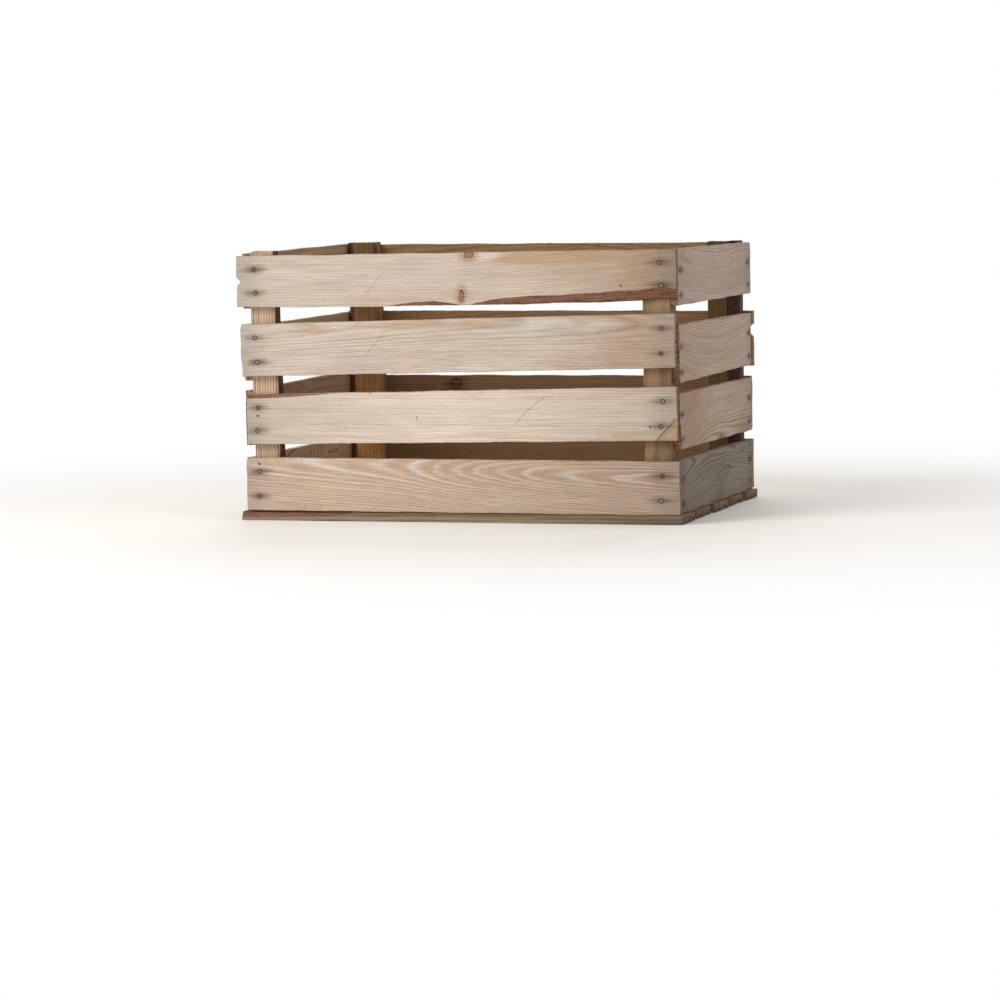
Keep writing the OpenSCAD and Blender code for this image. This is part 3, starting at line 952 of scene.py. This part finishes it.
@dataclass
class WireNails:
    """The rusty nails of one wall, driven a little below the wood.

    Args:
        node: Name of the CAD node that they stand for.
        lay: How the wall's wood lies.
        material: The rusty wire.
        seed: Seed of their tilts.
        wear: Least and most of the paler middle of a head, partly bare steel and partly a painted highlight.
    """

    node: str
    lay: Lay
    material: Any
    seed: int
    wear: Pair
    head_radius: float = 2.4
    head_thick: float = 1.0
    shank_radius: float = 1.1
    shank: float = 24.0
    point: float = 3.0
    # Rings of the dished head from the rim inwards: their widths, and how far what is inside then rises
    dish: tuple[Pair, ...] = ((0.45, -0.02), (0.55, -0.32), (0.6, 0.16))
    # Width of the rounding of its edges
    rim: float = 0.14
    # How far a head leans, in degrees
    lean: float = 3.0

    def pattern(self) -> Any:
        """Model one nail along Z, with the top of its head at 0: a dished head, a shank and a point.

        Returns:
            The new object.
        """
        bpy.ops.object.select_all(action="DESELECT")
        bpy.ops.mesh.primitive_cylinder_add(vertices=14, radius=self.head_radius * MM,
                                            depth=self.head_thick * MM,
                                            location=(0, 0, -self.head_thick / 2 * MM))
        nail = bpy.context.object
        bpy.ops.object.transform_apply(location=True, rotation=True, scale=True)
        self.pick_end(nail, up=True)
        for width, rise in self.dish:
            bpy.ops.mesh.inset(thickness=width * MM)
            bpy.ops.transform.translate(value=(0, 0, rise * MM))
        mode("OBJECT")
        self.pick_end(nail, up=False)
        bpy.ops.mesh.inset(thickness=(self.head_radius - self.shank_radius) * MM)
        for length in (self.shank, self.point):
            bpy.ops.mesh.extrude_region_move(TRANSFORM_OT_translate={"value": (0, 0, -length * MM)})
        bpy.ops.transform.resize(value=(0.25, 0.25, 1.0))
        mode("OBJECT")
        soften(nail, self.rim, segments=1, corner=60, smooth=30)
        note(nail, off_axis=np.hypot(*vertices_of(nail)[:, :2].T) / self.head_radius)
        return nail

    @staticmethod
    def pick_end(nail: Any, up: bool) -> None:
        """Select only the nail's top face, or its lowest one, and stay in edit mode.

        Args:
            nail: The object.
            up: True for the top face.
        """
        mode("EDIT")
        bpy.ops.mesh.select_mode(type="FACE")
        bpy.ops.mesh.select_all(action="DESELECT")
        mode("OBJECT")
        faces = nail.data.polygons
        levels = [face.center.z for face in faces]
        wanted = max(levels) if up else min(levels)
        for face, level in zip(faces, levels):
            face.select = abs(level - wanted) < 1e-7 and abs(face.normal.z) > 0.9
        mode("EDIT")

    def build(self) -> None:
        """Drive a copy of the nail at each of its places, and join them."""
        rng = np.random.default_rng(self.seed)
        pattern = self.pattern()
        along, _, inward = (Vector(v) for v in self.lay.value)
        upright = Matrix((along, -inward.cross(along), -inward)).transposed()
        copies = []
        for place in nail_places(self.node, self.lay):
            copy = pattern.copy()
            copy.data = pattern.data.copy()
            note(copy, wear=np.full(len(copy.data.vertices), rng.uniform(*self.wear)))
            bpy.context.collection.objects.link(copy)
            spin = Matrix.Rotation(rng.uniform(0, math.tau), 3, "Z")
            tilt = Matrix.Rotation(math.radians(rng.uniform(0, self.lean)), 3, "X")
            turn = Matrix.Rotation(rng.uniform(0, math.tau), 3, "Z")
            copy.data.transform((upright @ turn @ tilt @ spin).to_4x4())
            copy.data.transform(Matrix.Translation(Vector(self.lay.world(place)) * MM))
            copies.append(copy)
        bpy.data.objects.remove(pattern)
        select_only(*copies)
        bpy.ops.object.join()
        piece = bpy.context.object
        piece.data.materials.append(self.material)
        settle(piece, self.node, "wire", "nails")


@dataclass
class Boarding:
    """The slats of one wall or of the floor, and their nails.

    Args:
        name: The boarding's name in the nodes.
        lay: How its slats lie.
        finish: Finish of its slats.
        seed: First seed of its slats.
        traits: For each slat, what sets it apart.
        shared: Traits of all its slats, unless their own say otherwise.
        own_finishes: Finishes of the slats that differ from the others, by their number.
        wear: Least and most of the paler middle of its nails' heads, partly bare steel and partly a painted
            highlight.
    """

    name: str
    lay: Lay
    finish: SawnSpruce
    seed: int
    traits: tuple[dict, ...]
    shared: dict = field(default_factory=dict)
    own_finishes: dict[int, SawnSpruce] = field(default_factory=dict)
    wear: Pair = (0.0, 0.45)

    def build(self, wire: Any) -> None:
        """Build the slats and the nails.

        Args:
            wire: Material of the nails.
        """
        usual = self.finish.dress()
        nails = nail_places(self.name + "_nails", self.lay)
        for number, trait in enumerate(self.traits):
            own = self.own_finishes.get(number + 1)
            Timber(f"{self.name}_slat_{number + 1}", self.lay, self.name + "_slats",
                   own.dress() if own else usual, self.seed + number, nails, **self.shared | trait).build()
        WireNails(self.name + "_nails", self.lay, wire, self.seed + 90, self.wear).build()


FRONT_WOOD = SawnSpruce("sawn_spruce_front", pale="#d6cabd", tan="#c6a587", late="#8f7663", grey="#a19990",
                        inner="#86623c", contrast=0.55)

# The slats' shade runs are painted light and shade: they darken towards the right, where less light falls
FRONT = Boarding("front", Lay.FRONT, FRONT_WOOD, 11, (
    {
        "cut": Cut(((-300, -60, 24), (0, -62, 24), (100, -56, 23), (300, -40, 22)), 0.8),
        "knots": (Knot((18.0, 292.3), (5.2, 3.8)), Knot((9.1, 247.6), (3.0, 6.0))),
        "scars": (Scar((-78.5, 277.0), (-110.7, 241.2)), Scar((-173.0, 269.8), (-162.0, 269.7), 0.6),
                  Scar((-173.2, 270.2), (-171.8, 269.6), 0.9),
                  Scar((187.6, 258.8), (189.4, 255.8), 1.2)),
        "tints": (Tint((95.0, 288.0), (75.0, 6.0), 0.5), Tint((38.0, 290.0), (16.0, 5.0), -0.4),
                  Tint((9.0, 250.0), (16.0, 7.0), 0.15)),
        "wanes": (Wane(((-80, 0), (-62, 2.5), (-39, 4.4), (-22, 5.2), (2, 1.8), (9, 0), (16, 0), (42, 6.0),
                        (77, 9.4), (121, 8.7), (166, 11.2), (210, 12.1), (237, 12.4), (250, 10.4)), 0.43),),
        "bites": (Bite(((262.0, 0), (263.0, 3.4), (265.5, 4.6), (268.0, 3.4), (269.2, 0))),),
        # The bark edge hangs lower in the middle than the straight line between its corners
        "belly": ((-254, 0), (-180, 1.6), (-80, 2.7), (20, 2.9), (77, 3.9), (121, 2.5), (166, 3.1),
                  (210, 2.2), (238, 0.3), (250, 0)),
        "shade": ((-250, 0.93), (-200, 1.0), (60, 1.0), (180, 0.86), (250, 0.66)),
        "warmth": ((-250, 0.0), (40, 0.05), (180, 0.22), (225, 0.5)),
        "cell": (2.4, 1.5, 2.3),
    },
    {
        "cut": Cut(((-300, 18, 18), (-120, 24, 21), (0, 27, 25), (120, 25, 29), (300, 19, 35)), 0.85),
        "scars": (Scar((-76.3, 213.5), (-109.7, 176.3)),),
        "tints": (Tint((-60.0, 217.0), (42.0, 5.0), 0.28), Tint((35.0, 217.0), (36.0, 4.5), 0.28),
                  Tint((-158.0, 210.5), (24.0, 3.4), 0.25), Tint((120.0, 216.0), (60.0, 5.0), -0.4)),
        "bites": (Bite(((160, 1.5), (179, 0.4), (195, 0.1), (207, 0), (214, 0.6), (221, 2.0))),),
        "shade": ((-250, 0.96), (-200, 1.0), (80, 1.0), (190, 0.84), (250, 0.80)),
        "warmth": ((-250, 0.0), (80, 0.06), (200, 0.29)),
    },
    {
        "cut": Cut(((-300, 70, 26), (300, 66, 30)), 1.0),
        "scars": (Scar((106.7, 142.1), (80.0, 121.5)), Scar((80.0, 121.5), (61.8, 101.9)),
                  Scar((61.8, 101.9), (50.2, 88.7), 0.55), Scar((-44.7, 117.0), (-44.7, 111.6), 0.7),
                  Scar((-99.4, 144.0), (-98.6, 141.0), 0.9), Scar((-234.0, 116.9), (-229.6, 116.5), 1.3),
                  Scar((217.6, 105.6), (220.6, 105.2), 1.3), Scar((-150.0, 107.0), (-130.0, 105.0), 0.5),
                  Scar((224.5, 88.5), (248.5, 115.0), 0.75), Scar((232.0, 89.0), (248.5, 107.0), 0.55),
                  Scar((239.0, 89.0), (249.0, 99.5), 0.6)),
        "wanes": (Wane(((-246, 5.0), (-200, 3.4), (-128, 0)), 0.6, upper=True),),
        "chips": (Chip((224.0, 88.0), (249.8, 116.5), 1.1),),
        "shade": ((-250, 0.86), (-180, 0.94), (0, 1.08), (120, 0.98), (250, 0.80)),
        "warmth": ((-250, 0.04), (0, -0.10), (220, 0.06)),
    },
    {
        "cut": Cut(((-300, 29, 35), (-60, 21, 28), (15, 17, 20), (120, 13, 13.5), (300, 5, 6)), 1.0),
        "scars": (Scar((-233.4, 63.6), (-229.4, 62.8), 1.4),),
        "tints": (Tint((-215.0, 66.0), (25.0, 4.0), -0.5), Tint((-145.0, 66.0), (30.0, 4.0), -0.5)),
        "worn_corner": 6.0,
        "shade": ((-250, 1.0), (-60, 1.0), (60, 0.92), (180, 0.80), (250, 0.74)),
        "warmth": ((-250, 0.15), (100, 0.15), (250, 0.35)),
    },
), {"cell": (2.4, 1.7, 2.3)}, {
    # Slat 3 is chalky, and the rings of slat 4 are paler than the warm wood between them
    3: replace(FRONT_WOOD, name="sawn_spruce_chalky", pale="#dfd1c1", tan="#c5a27e", late="#9c836c", ring=2.3,
               weathering=0.22),
    4: replace(FRONT_WOOD, name="sawn_spruce_banded", pale="#caae94", tan="#bb9677", late="#d6d0c8",
               grey="#9a8e83", ring=2.3, contrast=1.0, weathering=0.15),
})

# The slats' inside_shade runs are painted light on the sides that look into the crate
REAR = Boarding("rear", Lay.REAR, SawnSpruce(
    "sawn_spruce_rear", pale="#c9b69c", tan="#b8966c", late="#8c6e50", grey="#a0968a", inner="#8c683e",
    contrast=0.7, browning=0.9), 31, (
    {"inside_shade": ((0, 1.1),)},
    {"bites": (Bite(((188.0, 0), (193.0, 4.5), (201.0, 4.0), (203.5, 0)), far_end=True),)},
    {"knots": (Knot((-114.2, 134.5), (7.0, 6.5)),), "scars": (Scar((-122.0, 134.0), (-132.0, 131.0), 0.8),),
     "inside_shade": ((0, 1.1),), "cut": Cut(((-300, -45, 22), (0, -50, 20), (300, -44, 24)), 3.0)},
    {"cut": Cut(((-300, -55, 22), (300, -50, 24)), 1.2), "inside_shade": ((0, 1.3),)},
))

RIGHT_WOOD = SawnSpruce("sawn_spruce_right", pale="#c6b5a6", tan="#b4957a", late="#8e6f5c", grey="#9c938b",
                        inner="#86623c", ring=2.1, contrast=0.95)

# The slats' shade runs are painted light and shade
RIGHT = Boarding("right", Lay.RIGHT, RIGHT_WOOD, 51, (
    {"cut": Cut(((-200, 62, 30), (-80, 48, 30), (0, 45, 30), (80, 48, 30), (200, 62, 30)), 1.0),
     "scars": (Scar((-139.9, 295.0), (-149.1, 285.5), 0.7), Scar((17.8, 289.5), (17.8, 286.2), 0.8),
               Scar((118.4, 292.4), (118.4, 289.2), 0.8)),
     "shade": ((-170, 0.86), (0, 0.96), (170, 0.84))},
    {"cut": Cut(((-200, 66, 34), (-80, 50, 34), (0, 47, 34), (80, 50, 34), (200, 61, 34)), 1.0),
     "bites": (Bite(((151, 6), (185, 3.5), (214, 0.5))),), "shade": ((-170, 0.92), (170, 1.0)),
     "warmth": ((-170, 0.15), (0, 0.1))},
    {"cut": Cut(((-200, -75, 24), (-100, -42, 22), (-20, -30, 24), (200, -24, 28)), 1.2),
     "bites": (Bite(((79, 7), (112, 4), (141, 0.5))),),
     "warmth": ((-170, 0.45), (-90, 0.3), (-20, 0.05)),
     "shade": ((-170, 0.90), (40, 1.0), (170, 0.86))},
    {"cut": Cut(((-200, 18, 20), (-40, 30, 26), (70, 32, 24), (200, 24, 18)), 1.2),
     "knots": (Knot((48.0, 43.0), (9.0, 4.2)), Knot((107.7, 59.0), (7.0, 3.2))),
     "shade": ((-170, 0.50), (-20, 0.54), (10, 0.50), (50, 0.60), (170, 0.58))},
), own_finishes={
    4: replace(RIGHT_WOOD, name="sawn_spruce_greyed", pale="#bfb0a1", tan="#a58e7a", late="#5a4d45",
               grey="#857a71", weathering=0.4, contrast=0.7, knot_tint=0.3),
}, wear=(0.0, 0.25))

# The slats' inside_shade runs are painted light on the sides that look into the crate
LEFT = Boarding("left", Lay.LEFT, SawnSpruce(
    "sawn_spruce_left", pale="#c6b5a0", tan="#b89a78", late="#8e7159", grey="#a1968b", inner="#a0805f",
    contrast=0.6), 71, (
    {}, {"inside_shade": ((0, 1.4),)}, {},
    {"cut": Cut(((-200, 18, 50), (-10, 18, 30), (50, 18, 14), (86, 18, 10), (122, 18, 14), (182, 18, 30)),
                1.4),
     "shade": ((0, 0.95),), "inside_shade": ((0, 2.45),)},
), {"inside_shade": ((0, 1.3),)})

FLOOR = Boarding("floor", Lay.FLOOR, SawnSpruce(
    "sawn_spruce_floor", pale="#c8b199", tan="#b28f6d", late="#7d614a", grey="#9c8d80", inner="#8f7350",
    contrast=0.9, end="#4c3426"), 91, (
    # The front slat kept some bark on its upper front edge
    {"wanes": (Wane(((-236, 4.0), (-150, 3.2), (-118, 0)), 1.5, inner=True),)}, {}, {}, {}, {},
), {
    # Painted light and shade: the front edge is painted darker towards the right, and the inner side is
    # painted lighter to make up for it
    "shade": ((-254, 0.85), (-100, 0.70), (50, 0.82), (120, 0.66), (200, 0.42), (254, 0.40)),
    "inside_shade": ((-254, 1.0), (-100, 1.24), (50, 1.06), (120, 1.3), (200, 2.1), (254, 2.2)),
})


@dataclass
class Posts:
    """The four corner posts, cut from thin logs, so that some long edges are missing."""

    front: SawnSpruce = SawnSpruce(
        "sawn_spruce_posts", pale="#d6bca0", tan="#c79f78", late="#70493a", grey="#a89888", inner="#a87440",
        ring=3.4, contrast=0.9, weathering=0.12, browning=0.5, bark="#6e4a3c", bark_dark="#472d26")
    # The rear posts have kept their brown, and their finish is painted darker still as painted shade of the
    # crate's inside
    rear: SawnSpruce = replace(
        front, name="sawn_spruce_brown_shaded", pale="#b48a5e", tan="#a3764a", late="#593721", grey="#93765a",
        inner="#a37b4a", contrast=0.6, browning=0.95)
    seed: int = 111

    def build(self) -> None:
        """Build the posts."""
        shared = {"cell": (3.2, 2.2, 2.2), "edge_wander": 0.3, "end_wander": 0.8, "relief": 0.08,
                  "softened": 1.0}
        # The shade and inside_shade runs are painted light and shade: the front right and rear right posts
        # stand in the crate's shade and are painted darker, and the rear left post's inner side is painted
        # lighter near its foot and darker near its top
        posts = {
            "front_left": (Lay.POST_FRONT, {
                "cut": Cut(((-200, -70, 13), (200, -68, 13)), 1.15), "shade": ((0, 1.06),),
                "wanes": (Wane(((0, 3.0),), 4.0, upper=True),
                          Wane(((0, 17.0),), 1.0, upper=True, inner=True)),
                "belly": ((10, -3.5), (150, 0), (300, 0)), "planed": ((120, 0), (300, 3.5))}),
            "front_right": (Lay.POST_FRONT, {
                "cut": Cut(((-200, 8, 60), (200, 4, 64)), 0.7), "shade": ((0, 0.55), (300, 0.60)),
                "warmth": ((0, 0.4),),
                "wanes": (Wane(((0, 7.0),), 1.0, inner=True),)}),
            "rear_left": (Lay.POST_REAR, {
                "cut": Cut(((-200, 58, 20), (200, 62, 20)), 1.3),
                "shade": ((0, 0.95),), "inside_shade": ((0, 2.5), (70, 2.4), (200, 1.25), (300, 0.55)),
                "wanes": (Wane(((0, 9.0),), 1.0, inner=True),), "planed": ((10, 3.0), (305, 10.0))}),
            "rear_right": (Lay.POST_REAR, {
                "cut": Cut(((-200, -50, 25), (200, -46, 25)), 1.0), "shade": ((0, 0.55), (300, 0.30)),
                "wanes": (Wane(((0, 14.0),), 1.0, upper=True, inner=True),)}),
        }
        for number, (corner, (lay, traits)) in enumerate(posts.items()):
            finish = self.rear if "rear" in corner else self.front
            Timber("post_" + corner, lay, "posts", finish.dress(), self.seed + number, np.empty((0, 3)),
                   **shared, **traits).build()


@dataclass
class Studio:
    """A pale floor, soft lamps and the camera of the photograph."""

    # The camera's place, the way it looks in degrees, and its lens on a 36 mm wide sensor
    eye: Triple = (1123.4, -3599.9, 332.5)
    azimuth: float = 17.439
    pitch: float = 4.898
    roll: float = -0.970
    lens: float = 118.8
    sensor: float = 36.0
    # Level of the light that comes evenly from all round
    ambient: float = 0.50

    def shoot(self) -> None:
        """Place the camera."""
        data = bpy.data.cameras.new("camera")
        data.lens = self.lens
        data.sensor_width = self.sensor
        data.clip_end = 100.0
        camera = bpy.data.objects.new("camera", data)
        bpy.context.collection.objects.link(camera)
        camera.matrix_world = (
            Matrix.Translation(Vector(self.eye) * MM)
            @ Matrix.Rotation(math.radians(self.azimuth), 4, "Z")
            @ Matrix.Rotation(math.radians(90 - self.pitch), 4, "X")
            @ Matrix.Rotation(math.radians(self.roll), 4, "Z"))
        bpy.context.scene.camera = camera

    def lamp(self, name: str, place: Triple, size: float, level: float) -> None:
        """Hang a square soft lamp that looks at the crate.

        Args:
            name: Name of the lamp.
            place: Its middle, in metres.
            size: Length of its sides, in metres.
            level: How brightly it lights a surface that faces it, where 1 shows a colour as it is written.
        """
        data = bpy.data.lights.new(name, "AREA")
        data.size = size
        middle = Vector((0, 0, 0.15))
        away = Vector(place) - middle
        # A square lamp of P watts gives P / (pi * pi * d * d) of a white surface's full level at d metres
        data.energy = level * math.pi ** 2 * away.length_squared
        lamp = bpy.data.objects.new(name, data)
        lamp.location = place
        lamp.rotation_euler = away.to_track_quat("Z", "Y").to_euler()
        bpy.context.collection.objects.link(lamp)

    @staticmethod
    def backdrop_rays(graph: Graph) -> Any:
        """Mark the rays that see the background: from the camera, a reflection or a transmission."""
        seen = graph.add(kind="LightPath", out="Is Camera Ray")
        for ray in ("Is Glossy Ray", "Is Transmission Ray"):
            seen = graph.add(seen, graph.add(kind="LightPath", out=ray), kind="Math", operation="MAXIMUM")
        return seen

    def light(self) -> None:
        """Hang the lamps and light the world."""
        self.lamp("key", (-1.5, -2.1, 1.9), 1.6, 0.54)
        self.lamp("fill", (3.0, -1.6, 1.8), 2.5, 0.16)
        self.lamp("rear", (-0.6, 3.4, 2.6), 2.5, 0.30)
        world = bpy.data.worlds.new("studio")
        bpy.context.scene.world = world
        graph = Graph(world)
        around = graph.add(linear("#fffdfa"), self.ambient, kind="Background")
        white = graph.add(linear("#ffffff"), 1.0, kind="Background")
        mixed = graph.add(self.backdrop_rays(graph), around, white, kind="MixShader")
        graph.add(mixed, kind="OutputWorld")

    def lay_floor(self) -> None:
        """Lay the pale floor, which turns into the white background away from the crate."""
        bpy.ops.object.select_all(action="DESELECT")
        bpy.ops.mesh.primitive_circle_add(vertices=64, radius=9.0, fill_type="NGON")
        floor = bpy.context.object
        floor.name = "studio_floor"
        material = bpy.data.materials.new("painted_studio_floor")
        graph = Graph(material)
        away = graph.add(graph.add(kind="TexCoord", out="Object"), **LENGTH)
        paint = graph.add(kind="BsdfPrincipled", named={"Base Color": linear("#f4f2ee"), "Roughness": 0.8})
        white = graph.add(linear("#ffffff"), 1.0, kind="Emission")
        share = graph.add(graph.add(away, 0.45, 1.2, **EASE), self.backdrop_rays(graph), **TIMES)
        graph.add(graph.add(share, paint, white, kind="MixShader"), kind="OutputMaterial")
        floor.data.materials.append(material)

    def build(self) -> None:
        """Set up the whole studio."""
        bpy.context.scene.view_settings.view_transform = "Standard"
        self.shoot()
        self.light()
        self.lay_floor()


def main() -> None:
    """Build the crate in its studio."""
    logging.basicConfig(level=logging.INFO, format="%(name)s: %(message)s")
    Studio().build()
    wire = RustyWire().dress()
    for boarding in (FRONT, REAR, RIGHT, LEFT, FLOOR):
        boarding.build(wire)
    Posts().build()


if __name__ == "__main__":
    main()
